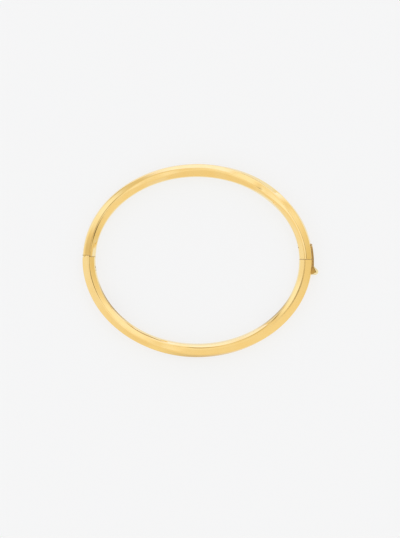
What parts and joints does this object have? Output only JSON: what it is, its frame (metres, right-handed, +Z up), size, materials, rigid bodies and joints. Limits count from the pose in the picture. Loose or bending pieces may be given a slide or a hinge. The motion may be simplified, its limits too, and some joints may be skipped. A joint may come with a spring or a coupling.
{
  "type": "twisted bangle",
  "caption": "Oval hinged bangle of softly faceted twisted bar, in two halves, with a pin hinge on one side and a sprung tongue clasp with a thumb tab on the other.",
  "frame": {"origin": "middle of the oval, on the surface that the bangle lies on", "axes": "+X towards the clasp along the oval's long axis, +Y towards the half that swings open, +Z up along the bangle's own axis"},
  "size_m": [0.067, 0.0549, 0.0039],
  "materials": {
    "bar_gold": "polished, gold plated",
    "clasp_gold": "polished, gold plated",
    "pin_gold": "bright, gold plated"
  },
  "bodies": {
    "lower": {"lower_half": "bar_gold", "hinge_pin": "pin_gold", "clasp_tongue": "clasp_gold"},
    "upper": {"upper_half": "bar_gold"},
    "lever": {"clasp_lever": "clasp_gold"}
  },
  "joints": [
    {"name": "bangle_hinge", "type": "hinge", "parent": "lower", "child": "upper", "pos_m": [-0.03214, 0.00104, 0.00194], "axis": [0, 0, 1], "range_deg": [0, 50]},
    {"name": "lever_press", "type": "hinge", "parent": "lower", "child": "lever", "pos_m": [0.03209, 0.00467, 0.00194], "axis": [0, 0, -1], "range_deg": [0, 2.5], "stiffness_Nm_per_rad": 0.05}
  ]
}
